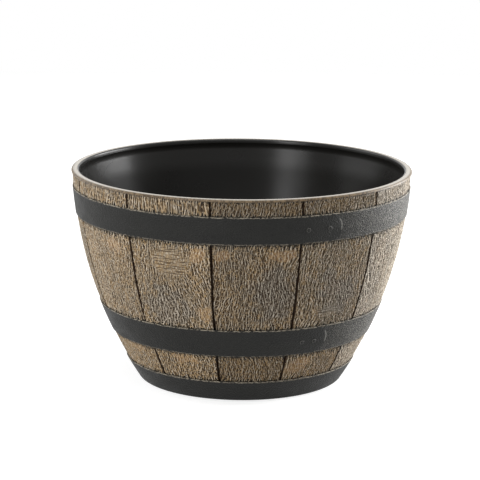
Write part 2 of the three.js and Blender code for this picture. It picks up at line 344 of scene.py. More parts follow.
def wood_relief(graph, place, patch):
    """The moulded wood relief at place = (across, along, stave), in millimetres.

    patch = (worn smooth, sawn across, greyed), each from 0 to 1. Returns the height in
    millimetres, and the masks of the grooves, the ridges and the saw marks.
    """
    worn, saw_patch, _ = graph.parts(patch)
    wobble = graph.noise(graph.scaled(place, *WOBBLE_SIZE))
    wobble = graph.times(graph.plus(wobble, -0.5), WOBBLE)
    across, length, stave = graph.parts(place)
    bent = graph.vector(graph.plus(across, wobble), length, stave)

    dashes = graph.gabor(graph.scaled(bent, *DASH_SIZE))
    hairs = graph.gabor(graph.scaled(bent, *HAIR_SIZE, offset=(40, 0, 3)))
    cracks = graph.gabor(graph.scaled(bent, *CRACK_SIZE, offset=(90, 7, 0)))
    strokes = graph.most(
        graph.ramp(dashes, 0.40, 0.54, 1.0, 0.0),
        graph.ramp(hairs, 0.31, 0.43, 0.85, 0.0),
        graph.ramp(cracks, 0.20, 0.30, 1.0, 0.0),
    )
    breaks = graph.noise(graph.scaled(place, *BREAK_SIZE, offset=(3, 60, 8)))
    flat = graph.most(graph.times(worn, WORN_FLATNESS), graph.times(saw_patch, SAWN_FLATNESS))
    kept = graph.times(graph.math("SUBTRACT", 1.0, flat), graph.ramp(breaks, 0.30, 0.46))
    groove = graph.times(strokes, kept)
    ridge = graph.times(graph.ramp(dashes, 0.55, 0.70), kept)
    saw_waves = graph.gabor(graph.scaled(place, *SAW_MARK_SIZE), math.pi / 2)
    saw = graph.times(graph.ramp(saw_waves, 0.38, 0.52, 1.0, 0.0), saw_patch)

    swell = graph.plus(graph.noise(graph.scaled(place, *SWELL_SIZE)), -0.5)
    raised = graph.plus(graph.times(swell, SWELL_HEIGHT), graph.times(ridge, RIDGE_HEIGHT))
    depth = graph.plus(graph.times(groove, GROOVE_RELIEF), graph.times(saw, SAW_MARK_RELIEF))
    return graph.math("SUBTRACT", raised, depth), groove, ridge, saw


def relief_tree():
    """A geometry tree that raises the stave faces by the wood relief."""
    tree = bpy.data.node_groups.new("wood_relief", "GeometryNodeTree")
    tree.interface.new_socket("Geometry", in_out="INPUT", socket_type="NodeSocketGeometry")
    tree.interface.new_socket("Geometry", in_out="OUTPUT", socket_type="NodeSocketGeometry")
    graph = Graph(tree)

    def attribute(name):
        kind = "GeometryNodeInputNamedAttribute"
        return graph.add(kind, {"Name": name}, data_type="FLOAT_VECTOR")

    height = wood_relief(graph, attribute("place"), attribute("patch"))[0]
    face = graph.parts(attribute("paint"))[0]
    lift = graph.times(graph.times(height, face), MM)
    normal = tree.nodes.new("GeometryNodeInputNormal").outputs[0]
    offset = graph.add("ShaderNodeVectorMath", {0: normal, "Scale": lift}, operation="SCALE")
    source = tree.nodes.new("NodeGroupInput").outputs[0]
    moved = graph.add("GeometryNodeSetPosition", {"Geometry": source, "Offset": offset})
    tree.links.new(moved, tree.nodes.new("NodeGroupOutput").inputs[0])
    return tree


def apply_tree(piece, tree):
    """Runs a geometry tree on the piece and keeps its result."""
    modifier = piece.modifiers.new("relief", "NODES")
    modifier.node_group = tree
    depsgraph = bpy.context.evaluated_depsgraph_get()
    result = bpy.data.meshes.new_from_object(piece.evaluated_get(depsgraph), depsgraph=depsgraph)
    piece.modifiers.clear()
    piece.data = result


# ------------------------------------------------------------------ materials

TAN = colour(163, 140, 108)
TAN_DULL = colour(138, 122, 100)
TAN_STREAK = colour(140, 127, 107)
TAN_BLOTCH = colour(158, 133, 97)
TAN_WARM = colour(168, 138, 96)
TAN_WORN = colour(175, 143, 101)
WOOD_GREYED = colour(128, 121, 111)
WOOD_PALE = colour(154, 148, 139)
WOOD_HIGHLIGHT = colour(214, 203, 186)
GRAIN_BROWN = colour(46, 28, 7)
GRAIN_BROWN_DULL = colour(41, 27, 12)
GRAIN_REDDISH = colour(88, 48, 24)
VALLEY_BROWN = colour(44, 30, 17)
# Hoop paint smudged onto the wood, also used as painted shadow under the lip and the hoops.
SMUDGED_PAINT_AND_SHADOW = colour(34, 33, 30)
PAINT_PIT = colour(14, 14, 13)
# Worn paint, and a painted highlight on the top edges.
PAINT_WORN_AND_LIT = colour(165, 156, 140)
# Painted highlight round the lap's tip and the rivets' rims.
PAINT_RIM_HIGHLIGHT = colour(168, 166, 159)
# Pale specks painted as the sheen of the light from the right.
PAINT_GLINT = colour(156, 152, 144)
POT_BLACK = colour(21, 20, 18)
LIP_TAN = colour(116, 99, 77)
LIP_FLECK = colour(72, 60, 45)
# Painted highlight on the lip's crown, where the light from above falls.
LIP_CROWN_HIGHLIGHT = colour(190, 186, 178)
RUBBER_BLACK = colour(30, 30, 30)
RUBBER_BLOOM = colour(46, 45, 44)
# Paint tones, as sRGB from 0 to 255, and how much lighter their clouds are.
STRAP_TONE = (21, 21, 19)
RIVET_TONE = (26, 26, 24)
CLOUD_LIFT = 7


def wood_material():
    """Tan and grey wash over dark grain, with hoop paint smudged onto the edges and painted
    shadow under the lip and the hoops.
    """
    material = Material("wood_effect", 0.5, specular=0.14)
    graph = material.graph
    place = material.attribute("place")
    patch = material.attribute("patch")
    _, valley, distance = graph.parts(material.attribute("paint"))
    lightness, warmth, pale = graph.parts(material.attribute("tone"))
    worn, _, greyed = graph.parts(patch)
    height, groove, ridge, saw = wood_relief(graph, place, patch)

    broad = graph.noise(graph.scaled(place, 24, 46), detail=2.0)
    streak = graph.noise(graph.scaled(place, 5, 60, offset=(7, 3, 20)), detail=2.0)
    blotch = graph.noise(graph.scaled(place, 9, 13, offset=(0, 9, 31)), detail=2.0)
    speck = graph.noise(graph.scaled(place, 1.6, 3.2, offset=(0, 4, 12)), detail=1.0)
    tan = graph.mix(graph.ramp(broad, 0.40, 0.60), TAN, TAN_DULL)
    tan = graph.mix(graph.ramp(streak, 0.46, 0.58, 0.0, 0.8), tan, TAN_STREAK)
    tan = graph.mix(graph.ramp(blotch, 0.54, 0.66), tan, TAN_BLOTCH)
    tan = graph.mix(warmth, tan, TAN_WARM)
    tan = graph.mix(graph.times(worn, 0.55), tan, TAN_WORN)
    tan = graph.mix(graph.times(greyed, 0.7), tan, WOOD_GREYED)
    tan = graph.mix(pale, tan, WOOD_PALE)
    highlight = graph.most(graph.times(ridge, 0.8), graph.ramp(speck, 0.48, 0.72, 0.0, 0.6))
    tan = graph.mix(highlight, tan, WOOD_HIGHLIGHT)
    lit = graph.add("ShaderNodeVectorMath", {0: tan, "Scale": lightness}, operation="SCALE")

    dark = graph.mix(graph.ramp(broad, 0.40, 0.60), GRAIN_BROWN, GRAIN_BROWN_DULL)
    dark = graph.mix(graph.times(worn, 0.7), dark, GRAIN_REDDISH)
    stained = graph.most(graph.times(groove, 0.95), graph.times(saw, 0.7))
    wood = graph.mix(stained, lit, dark)
    wood = graph.mix(graph.ramp(valley, 0.0, 0.32), wood, VALLEY_BROWN)

    # Hoop paint runs about 2 mm onto the wood, further along the grooves. The same dark is a
    # painted shadow under the lip, and in part under each hoop.
    ragged = graph.noise(graph.scaled(place, 1.4, 3.0, offset=(0, 0, 70)), detail=2.0)
    reach = graph.plus(distance, graph.times(graph.plus(ragged, -0.5), 7))
    reach = graph.plus(reach, graph.times(groove, -2.5))
    wood = graph.mix(graph.ramp(reach, -0.3, 1.8, 0.9, 0.0), wood, SMUDGED_PAINT_AND_SHADOW)
    material.link("Base Color", wood)
    fibres = graph.noise(graph.scaled(place, 0.35, 3.0), detail=2.0)
    material.bump(graph.plus(height, graph.times(fibres, 0.25)), 1.0, 0.8)
    return material.data


def paint_material(name, tone):
    """Charcoal paint over a finely hammered face.

    The meshes say where it is worn or painted light: (edge, rim, stippled), each from 0 to 1.
    edge is worn paint, with a painted highlight on the top edges; rim is a painted highlight
    round the lap's tip and the rivets' rims; stippled is pale specks painted as the sheen of the
    light from the right.
    """
    material = Material(name, 0.55, specular=0.2)
    graph = material.graph
    place = material.attribute("place")
    edge, rim, stippled = graph.parts(material.attribute("paint"))
    cloud = graph.noise(graph.scaled(place, 22, 14), detail=3.0)
    dust = graph.noise(graph.scaled(place, 3.0, 1.4), detail=3.0)
    pits = graph.noise(graph.scaled(place, 2.6, 2.2, offset=(5, 5, 40)), detail=1.0)
    lighter = colour(*(value + CLOUD_LIFT for value in tone))
    base = graph.mix(graph.ramp(cloud, 0.35, 0.65), colour(*tone), lighter)
    base = graph.mix(graph.ramp(pits, 0.64, 0.70, 0.0, 0.6), base, PAINT_PIT)
    # Worn paint along the edges, with a painted highlight where the top edges catch the light
    # from above.
    worn = graph.times(graph.ramp(dust, 0.40, 0.56), graph.ramp(edge, 0.1, 0.8))
    base = graph.mix(graph.times(worn, 0.75), base, PAINT_WORN_AND_LIT)
    # Painted highlight round the lap's tip and the rivets' rims, where they catch the light.
    base = graph.mix(graph.times(rim, 0.72), base, PAINT_RIM_HIGHLIGHT)
    # Painted sheen: pale specks where the light from the right glints on the hammered paint.
    specks = graph.noise(graph.scaled(place, 1.1, 1.0, offset=(0, 8, 90)), detail=1.0)
    glinting = graph.times(graph.ramp(specks, 0.48, 0.62), stippled)
    base = graph.mix(graph.times(glinting, 0.6), base, PAINT_GLINT)
    material.link("Base Color", base)
    material.link("Roughness", graph.ramp(cloud, 0.3, 0.7, 0.50, 0.60))
    hammered = graph.noise(graph.scaled(place, 1.5, 1.4), detail=1.0)
    material.bump(graph.plus(hammered, graph.times(pits, -0.3)), 1.0, 1.0)
    return material.data


def pot_material():
    """Black moulding whose gloss is drawn out up the wall, with tan paint over its lip and a
    painted highlight along the lip's crown.
    """
    material = Material("pot_black", 0.3, specular=0.25)
    material.shader.inputs["Anisotropic"].default_value = 0.6
    material.shader.inputs["Anisotropic Rotation"].default_value = 0.25
    graph = material.graph
    round_axis = graph.add("ShaderNodeTangent", {}, direction_type="RADIAL", axis="Z")
    material.link("Tangent", round_axis)
    place = material.attribute("place")
    mask, crown_highlight, _ = graph.parts(material.attribute("paint"))
    flecks = graph.noise(graph.scaled(place, 1.6, 5.0), detail=2.0)
    tan = graph.mix(graph.ramp(flecks, 0.35, 0.65), LIP_TAN, LIP_FLECK)
    # Painted highlight: the crown is paler near its top, where the light from above falls.
    tan = graph.mix(graph.times(crown_highlight, 0.85), tan, LIP_CROWN_HIGHLIGHT)
    ragged_mask = graph.plus(mask, graph.times(graph.plus(flecks, -0.5), 0.3))
    painted = graph.ramp(ragged_mask, 0.42, 0.58)
    material.link("Base Color", graph.mix(painted, POT_BLACK, tan))
    cloud = graph.noise(graph.scaled(place, 45, 45), detail=1.0)
    gloss = graph.ramp(cloud, 0.3, 0.7, 0.27, 0.31)
    material.link("Roughness", graph.most(gloss, graph.times(mask, 0.5)))
    material.bump(graph.noise(graph.scaled(place, 40, 30)), 0.3, 0.3)
    return material.data


def rubber_material():
    """Matt black rubber with a faint bloom."""
    material = Material("plug_rubber", 0.8)
    graph = material.graph
    bloom = graph.noise(graph.scaled(material.attribute("place"), 3, 3), detail=3.0)
    base = graph.mix(graph.ramp(bloom, 0.35, 0.7), RUBBER_BLACK, RUBBER_BLOOM)
    material.link("Base Color", base)
    material.bump(bloom, 0.1, 0.5)
    return material.data


# ------------------------------------------------------------------ staves

FIRST_GROOVE = math.radians(-10)
STAVE_PITCH = TURN / len(STAVES)
STAVE_THICKNESS = 4.0
GROOVE_HALF = 1.7
GROOVE_DEPTH = 2.1
STAVE_SPACING = 0.4
STAVE_ROWS = 320
FACE_COLUMNS = 128
BEVEL_COLUMNS = 5
BACK_COLUMNS = 8
# The relief fades out over END_FADE, to nothing END_MARGIN below the stave's top (mm).
END_MARGIN = 1.5
END_FADE = 3.0
# The relief also fades to nothing over this much at a hoop's edge (mm).
HOOP_FADE = 1.5
# Moves the painted shadow under the lip's overhang up by this much (mm).
LIP_SHADOW_GAP = 0.6
# Steps in the grain's texture from stave to stave, so that no two are alike (mm).
GRAIN_SHIFT = 300
GRAIN_LAYER = 10.0

# Patches on the staves in view: stave, across and height of the middle, half sizes (mm).
WORN = [(12, 33, 181, 9, 8), (12, 0, 57, 19, 8), (12, 35, 111, 8, 9), (2, -22, 44, 14, 9),
        (1, 29, 181, 14, 6), (1, -36, 182, 7, 7), (11, 8, 60, 12, 9), (11, 20, 180, 12, 8)]
SAWN = [(12, 2, 168, 25, 17), (2, 2, 111, 17, 7), (11, -18, 120, 12, 10)]
GREYED = [(12, -8, 116, 26, 24), (1, 22, 136, 26, 30), (2, -7, 153, 10, 9), (2, 10, 128, 26, 20)]
# Each kind of patch: where, how many a stave out of view gets, and its seed.
PATCH_KINDS = [(WORN, 3, 300), (SAWN, 1, 400), (GREYED, 1, 500)]
# Grain that leans: stave, middle, half sizes, and how far it leans per millimetre up.
LEANING = [(12, 24, 130, 34, 48, -0.30), (12, 10, 60, 60, 25, -0.18), (1, 0, 228, 70, 22, 0.2)]
# The staves in view: lightness at the foot, in the middle and at the top, then warmth and
# paleness. Beside each stave's own tone, the lightness holds painted light: the staves at the
# sides are lighter than those in front, and the tops of the front staves darker, a painted shade
# under the lip.
TONES = {
    11: (1.10, 1.06, 1.00, 0.35, 0.1),
    12: (1.10, 1.06, 1.00, 0.2, 0.0),
    1: (0.70, 0.79, 0.60, 0.15, 0.0),
    2: (0.88, 0.85, 0.64, 0.0, 0.0),
    3: (1.17, 1.18, 1.08, 0.0, 0.6),
    4: (0.98, 0.98, 0.90, 0.0, 0.4),
}
# What the staves out of view get instead, from low to high.
PLAIN_LIGHTNESS = (0.78, 0.92)
PLAIN_WARMTH = (0.0, 0.15)
PLAIN_PALENESS = (0.0, 0.25)
# How much warmer every stave is below the lower hoop.
FOOT_WARMTH = 0.35
# The grain's pace from the top hoop's foot up, on staves where it is drawn out there.
DRAWN_OUT = {11: 0.6, 12: 0.45}


def ellipse(x, z, spot, seed):
    """How far inside a patch with a ragged edge each point is, from 0 to 1."""
    _, centre_x, centre_z, half_x, half_z = spot
    distance = np.hypot((x - centre_x) / half_x, (z - centre_z) / half_z)
    edge = 1.15 + 0.45 * field(x, z, 7, 7, seed)
    return np.clip((edge - distance) / 0.35, 0, 1)


def patches(number, x, z, listed, count, seed):
    """The patches of one stave. Staves out of view get seeded ones."""
    spots = [spot for spot in listed if spot[0] == number]
    rng = np.random.default_rng(seed + number)
    if number not in TONES:
        for _ in range(count):
            middle = (rng.uniform(-35, 35), rng.choice([rng.uniform(98, 190), 55]))
            spots.append((number, *middle, rng.uniform(8, 22), rng.uniform(6, 14)))
    mask = np.zeros_like(x)
    for i, spot in enumerate(spots):
        mask = np.maximum(mask, ellipse(x, z, spot, seed + 31 * i))
    return mask


def grain_drift(number, x, z):
    """How far the grain runs sideways of straight up (mm), so that it leans and wanders."""
    seed = SEED * 10 + number
    drift = 7 * field(x, z, 60, 38, seed)
    drift = drift + 1.5 * field(x, z, 25, 17, seed + 50)
    for stave, centre_x, centre_z, half_x, half_z, lean in LEANING:
        if stave == number:
            near = np.exp(-(((x - centre_x) / half_x) ** 2) - ((z - centre_z) / half_z) ** 2)
            drift = drift * (1 - near) - lean * (z - centre_z) * near
    return drift


def groove_line(groove, length):
    """How far a groove wanders sideways, and its half width, along the barrel (mm)."""
    seed = SEED * 100 + groove
    wander = 0.40 * field(length, 0, 45, 1, seed)
    wander = wander + 0.15 * field(length, 0, 9, 1, seed + 20)
    swelling = 0.25 * field(length, 0, 26, 1, seed + 40)
    swelling = swelling + 0.2 * field(length, 0, 6, 1, seed + 60)
    return wander, GROOVE_HALF + swelling


def paint_and_shadow_distance(z):
    """How far height z is from the nearest hoop, negative behind one, or from the lip (mm).

    Above a hoop it is the true distance, and below one half of it, where paint has run and
    painted shadow falls. Near the lip it sets a painted shadow under its overhang.
    """
    reaches = [np.maximum((low - z) / 2, z - high) for low, high in HOOPS.values()]
    return np.minimum.reduce([*reaches, SKIRT_FOOT - z + LIP_SHADOW_GAP])


def stave_columns(left, right, left_half, right_half):
    """Across, depth, face share and valley share of a stave's columns, once round it."""
    gap = STAVE_SPACING / 2
    columns = []
    for step in np.linspace(0, 1, FACE_COLUMNS):
        start, end = left + left_half, right - right_half
        columns.append((start + step * (end - start), 0.0, 1.0, 0.0))
    steps = np.linspace(0, 1, BEVEL_COLUMNS + 1)[1:]
    depths = GROOVE_DEPTH * (1 - np.cos(steps * math.pi / 2))
    for step, depth in zip(steps, depths):
        columns.append((right - right_half + step * (right_half - gap), depth, 1 - step, step))
    for step in np.linspace(1, 0, BACK_COLUMNS):
        start, end = left + gap, right - gap
        columns.append((start + step * (end - start), STAVE_THICKNESS, 0.0, 1.0))
    for step, depth in zip(steps[::-1], depths[::-1]):
        columns.append((left + left_half - step * (left_half - gap), depth, 1 - step, step))
    grids = []
    for values in zip(*columns):
        grids.append(np.stack([np.broadcast_to(value, left.shape) for value in values], axis=1))
    return grids


def add_stave(index, name, material, tree):
    """One stave, with its grain, patches and tone, from its foot on the ledge to the lip."""
    number = index + 1
    z = np.linspace(STAVE_FOOT, STAVE_TOP, STAVE_ROWS)
    length = along(z)
    half_width = STAVE_PITCH / 2 * barrel_radius(z)
    left_wander, left_half = groove_line(index, length)
    right_wander, right_half = groove_line((index + 1) % len(STAVES), length)
    across, depth, face, valley = stave_columns(
        left_wander - half_width, right_wander + half_width, left_half, right_half
    )
    heights = np.broadcast_to(z[:, None], across.shape)
    middle = FIRST_GROOVE + (index + 0.5) * STAVE_PITCH
    angle = middle + across / barrel_radius(heights)
    grid = around(barrel_radius(heights, depth), angle, heights)
    piece = add_piece(name + "_wood", *skin(grid, caps=True), material, "stave", name)

    drift = grain_drift(number, across, heights)
    above = np.clip(length - along(HOOPS["top_hoop"][0]), 0, None)
    grain = length - above * (1 - DRAWN_OUT.get(number, 1.0)) + GRAIN_SHIFT * number
    set_attribute(piece, "place", across + drift, grain[:, None], GRAIN_LAYER * number)
    distance = paint_and_shadow_distance(heights)
    end_fade = np.clip((STAVE_TOP - END_MARGIN - heights) / END_FADE, 0, 1)
    bare = np.clip(distance / HOOP_FADE + 0.5, 0, 1)
    set_attribute(piece, "paint", face * end_fade * bare, valley, distance)
    masks = [patches(number, across, heights, *kind) for kind in PATCH_KINDS]
    set_attribute(piece, "patch", *masks)
    rng = np.random.default_rng(SEED + number)
    shade = rng.uniform(*PLAIN_LIGHTNESS)
    plain = (shade, shade, shade, rng.uniform(*PLAIN_WARMTH), rng.uniform(*PLAIN_PALENESS))
    foot, body, top, warmth, pale = TONES.get(number, plain)
    bands = np.concatenate([HOOPS["lower_hoop"], HOOPS["top_hoop"]])
    # The lightness at the foot and top differs from the middle: in front, the darker tops are
    # painted shade under the lip.
    lightness = np.interp(heights, bands, (foot, body, body, top))
    warmth = np.interp(heights, bands, (warmth + FOOT_WARMTH, warmth, warmth, warmth))
    set_attribute(piece, "tone", lightness, warmth, pale)
    apply_tree(piece, tree)


# ------------------------------------------------------------------ hoops

STRAP_THICKNESS = 0.9
STRAP_EDGE_ROUND = 0.45
STRAP_COLUMNS = 40
STRAP_STEP = 0.85
# Where each strap's rounded outer end is (degrees), and how far it laps over the inner end.
LAP_TIPS = {"top_hoop": 34.4, "lower_hoop": 36.6}
LAP_LENGTH = 58.0
# The step by which the outer end rises over the inner one.
JOGGLE_LENGTH = 13.0
JOGGLE_CLEARANCE = 2.0
TIP_SWEEP = math.radians(86)
DENT_DEPTH = 0.12
# How wide paint is worn along the edges, with a painted highlight where the top edges catch the
# light from above (mm), and how much of it along the lower one.
EDGE_WEAR_AND_HIGHLIGHT = 1.8
LOWER_EDGE_WEAR_AND_HIGHLIGHT = 0.7
# The painted highlight, a crescent round the upper side of the tip where the light falls: its
# width (mm), then its middle and half height, as shares of the strap's half width.
TIP_HIGHLIGHT_WIDTH = 1.9
TIP_HIGHLIGHT_LEVEL = 0.2
TIP_HIGHLIGHT_REACH = 0.48
TIP_HIGHLIGHT_FADE = 0.15
# Middle and spread of the stretch where pale specks on the straps are a painted sheen of the
# light from the right.
SHEEN_STRETCH = np.radians([68, 28])


def ragged_edge(angle, seed):
    """How far a strap's edge strays, in millimetres, round the barrel."""
    stray = 0.20 * ring_noise(angle, 150, seed)
    stray = stray + 0.15 * ring_noise(angle, 420, seed + 1)
    return stray + 0.25 * ring_noise(angle, 900, seed + 2)


def strap_section(half):
    """Height across a strap and depth out of it, round its section from the top edge."""
    rounding = np.linspace(0, math.pi / 2, 5)
    inset = half - STRAP_EDGE_ROUND
    corner_across = inset + STRAP_EDGE_ROUND * np.cos(rounding)
    corner_out = STRAP_THICKNESS - STRAP_EDGE_ROUND + STRAP_EDGE_ROUND * np.sin(rounding)
    face = np.linspace(inset, -inset, STRAP_COLUMNS)[1:-1]
    back = np.linspace(-half, half, 6)
    across = np.concatenate([corner_across, face, -corner_across[::-1], back])
    face_out = np.full(face.shape, STRAP_THICKNESS)
    return across, np.concatenate([corner_out, face_out, corner_out[::-1], np.zeros(back.shape)])


def add_strap(name, material):
    """An open hoop. Its outer end is rounded and steps up over its inner end."""
    low, high = HOOPS[name]
    half, middle = (high - low) / 2, (high + low) / 2
    radius = float(barrel_radius(middle))
    inner_end = math.radians(LAP_TIPS[name]) - LAP_LENGTH / radius
    step_top = TURN + inner_end - JOGGLE_CLEARANCE / radius
    step_foot = step_top - JOGGLE_LENGTH / radius
    round_centre = TURN + math.radians(LAP_TIPS[name]) - half / radius
    rounding = np.sin(np.linspace(0, TIP_SWEEP, 30)) * half / radius
    straight = np.arange(inner_end, round_centre, STRAP_STEP / radius)
    angle = np.concatenate([straight, round_centre + rounding])[::-1, None]

    _, rise = smooth_share(np.clip((angle - step_foot) / (step_top - step_foot), 0, 1 - 1e-6))
    lift = (STRAP_THICKNESS + SEAT_GAP) * rise
    past = np.clip(angle - round_centre, 0, None) * radius / half
    narrowing = np.sqrt(1 - past**2)
    across, outward = strap_section(half)
    across, outward = across[None, :], outward[None, :]
    seed = SEED * 1000 + int(low)
    stray = np.where(across > 0, ragged_edge(angle, seed), ragged_edge(angle, seed + 5))
    strayed = across + stray * (np.abs(across) / half) ** 6 * np.sign(across)
    heights = middle + strayed * narrowing
    dents = DENT_DEPTH * field(angle * radius, across, 11, 8, seed) * (outward > 0)
    grid = around(barrel_radius(heights, -SEAT_GAP - lift - outward - dents), angle, heights)
    piece = add_piece(name + "_strap", *skin(grid, caps=True), material, "hoop", name)
    set_attribute(piece, "place", angle * radius, across, low)
    # Worn paint along both edges, and a painted highlight strongest on the top edge, which faces
    # the light from above.
    border = np.clip(1 - (half - np.abs(across)) / EDGE_WEAR_AND_HIGHLIGHT, 0, 1)
    border = border * np.where(across > 0, 1.0, LOWER_EDGE_WEAR_AND_HIGHLIGHT) * (past == 0)
    level = across / half * narrowing
    # A painted highlight: a crescent round the upper side of the tip, where the light falls.
    tip = np.clip(1 - half * (1 - np.hypot(past, level)) / TIP_HIGHLIGHT_WIDTH, 0, 1) * (past > 0)
    tip *= np.clip((TIP_HIGHLIGHT_REACH - np.abs(level - TIP_HIGHLIGHT_LEVEL)) / TIP_HIGHLIGHT_FADE, 0, 1)
    # Where the painted sheen of the light from the right lies on the straps.
    sheen_share = np.exp(-(((angle - SHEEN_STRETCH[0]) / SHEEN_STRETCH[1]) ** 2))
    set_attribute(piece, "paint", border, tip, sheen_share)


BASE_THICKNESS = 1.2
BASE_CURL = 2.4
BASE_TUCK = 3.2
BASE_SEGMENT = 0.85
# Only this much of the base hoop, below its top edge, strays with the edge (mm).
BASE_RAGGED = 5
BASE_SEED = 71
BASE_LAYER = 5.0


def base_profile(low, high):
    """Section of the base hoop, from under the ledge up its outside and back inside."""
    outer = -SEAT_GAP - BASE_THICKNESS
    curl_top, inner_low = low + BASE_CURL, low + BASE_THICKNESS
    tuck_radius = on_barrel(low, outer)[0] - BASE_TUCK
    outside = bend([tuck_radius, low], on_barrel(low, outer), on_barrel(curl_top, outer), 14)
    outside += barrel_profile(curl_top, high - 0.6, outer, 22)[1:]
    edge = [on_barrel(high - 0.2, outer + 0.15), on_barrel(high, outer + 0.55)]
    inside = barrel_profile(high, curl_top, -SEAT_GAP, 7)
    corner = on_barrel(inner_low, -SEAT_GAP)
    under = bend(inside[-1], corner, [tuck_radius, inner_low], 6)
    return np.array(outside + edge + inside + under[1:])


def add_base_hoop(material):
    """The closed hoop that curls under the staves' feet."""
    low, high = HOOPS["base_hoop"]
    radius = float(barrel_radius(low))
    angle = np.arange(0, TURN, BASE_SEGMENT / radius)[:, None]
    profile = base_profile(low, high)
    level = profile[None, :, 1]
    top_share = np.clip((level - (high - BASE_RAGGED)) / BASE_RAGGED, 0, 1)
    heights = level + ragged_edge(angle, BASE_SEED) * top_share
    vertices, faces = skin(around(profile[None, :, 0], angle, heights), closed_rows=True)
    piece = add_piece("base_hoop_strap", vertices, faces, material, "hoop", "base_hoop")
    run = np.concatenate([[0], np.cumsum(np.hypot(*np.diff(profile, axis=0).T))])
    set_attribute(piece, "place", angle * radius, run[None, :], BASE_LAYER)
    # The top edge is lighter: worn paint and a painted highlight where it catches the light from
    # above.
    border = np.clip(1 - (high - level - 0.3) / EDGE_WEAR_AND_HIGHLIGHT, 0, 1)
    set_attribute(piece, "paint", border, np.zeros_like(angle), 0.0)


# How far the first rivet is behind the lap's tip, and the second behind the first (mm).
RIVET_SETBACK = 15.5
RIVET_SPACINGS = {"top_hoop": 26.0, "lower_hoop": 15.0}
SHANK_RADIUS = 1.2
HEAD_RADIUS = 2.5
HEAD_HEIGHT = 1.2
HEAD_RIM = 0.25
HEAD_RIM_WIDTH = 0.4
# How strong the painted highlight round the rivet heads' rims is.
HEAD_RIM_HIGHLIGHT = 0.32


def rivet_profile():
    """Section of a rivet: its shank, and a shallow domed head on a thin rim."""
    seat = 2 * (SEAT_GAP + STRAP_THICKNESS)
    profile = [[AXIS, SEAT_GAP], [SHANK_RADIUS, SEAT_GAP], [SHANK_RADIUS, seat]]
    profile += [[HEAD_RADIUS, seat], [HEAD_RADIUS, seat + HEAD_RIM]]
    radius, rise = HEAD_RADIUS - 0.1, HEAD_HEIGHT - HEAD_RIM
    dome = arc(0, 0, 1, 12, 88, 9)
    return profile + [[r * radius, seat + HEAD_RIM + z * rise] for r, z in dome]


def add_rivets(hoop, material):
    """The two rivets of a lap, square to the barrel's face."""
    low, high = HOOPS[hoop]
    middle = (low + high) / 2
    radius = float(barrel_radius(middle))
    slope = math.asin((middle - BULGE_Z) / BULGE_RADIUS)
    for index in range(2):
        setback = RIVET_SETBACK + index * RIVET_SPACINGS[hoop]
        angle = math.radians(LAP_TIPS[hoop]) - setback / radius
        outward = Vector(around(math.cos(slope), angle, math.sin(slope)))
        turn = np.array(Vector((0, 0, 1)).rotation_difference(outward).to_matrix())
        vertices, faces = skin(revolve(rivet_profile(), 32), closed_rows=True)
        on_rim = np.hypot(*vertices.T[:2]) > HEAD_RADIUS - HEAD_RIM_WIDTH
        vertices = vertices @ turn.T + around(radius, angle, middle)
        node = f"{hoop}_rivet_{index + 1}"
        piece = add_piece(node + "_head", vertices, faces, material, "rivet", node)
        set_attribute(piece, "place", *vertices.T)
        set_attribute(piece, "paint", 0.0, HEAD_RIM_HIGHLIGHT * on_rim, 0.0)


# ------------------------------------------------------------------ pot

POT_SEGMENTS = 360
# The radius at which the angle counts as length for the pot's textures (mm).
POT_TEXTURE_RADIUS = 150
POT_WALL = 2.6
FOOT_HEIGHT = HOOPS["base_hoop"][0] + BASE_THICKNESS + SEAT_GAP
LEDGE_TOP = FOOT_HEIGHT + 2.0
LEDGE_INSET = 1.2
FOOT_INSET = 9.0
FOOT_WIDTH = 7.0
NOTCH_HALF = 7.0
NOTCH_DEPTH = 1.5
FLOOR_TOP = FOOT_HEIGHT + 3.0
FLOOR_FILLET = 9.0
DRAIN_SEAT = FLOOR_TOP - 0.8
DRAIN_RADIUS = 8.0
LIP_UNDERSIDE = HEIGHT - 2.0
SKIRT_FOOT = LIP_UNDERSIDE - 0.8
CROWN_HEIGHT = 2.3
# The band inside the rim stands this far out of the wall under it.
RIM_BAND = 0.6
RIM_BAND_HEIGHT = 5.0
# The wall leans in by DRAFT over the first DRAFT_HEIGHT below the band.
DRAFT = 2.0
DRAFT_HEIGHT = 26.0
WALL_STEPS = 36
# The lip is painted this far in from its outside, and palest within the last of these lengths of
# its top: a painted highlight where the crown catches the light from above.
PAINTED_LIP = 7.2
PAINT_FADE = 0.8
CROWN_HIGHLIGHT_DEPTH = 0.5


def crown(inner, outer):
    """Points of [radius, height] over the rolled lip, from its outside to its inside."""
    middle, half = (outer + inner) / 2, (outer - inner) / 2
    turn = np.radians(np.linspace(2, 178, 30))
    across = np.sign(np.cos(turn)) * np.abs(np.cos(turn)) ** 0.8
    rise = np.sin(turn) ** 0.8
    heights = HEIGHT - CROWN_HEIGHT * (1 - rise)
    return np.stack([middle + half * across, heights], axis=-1).tolist()


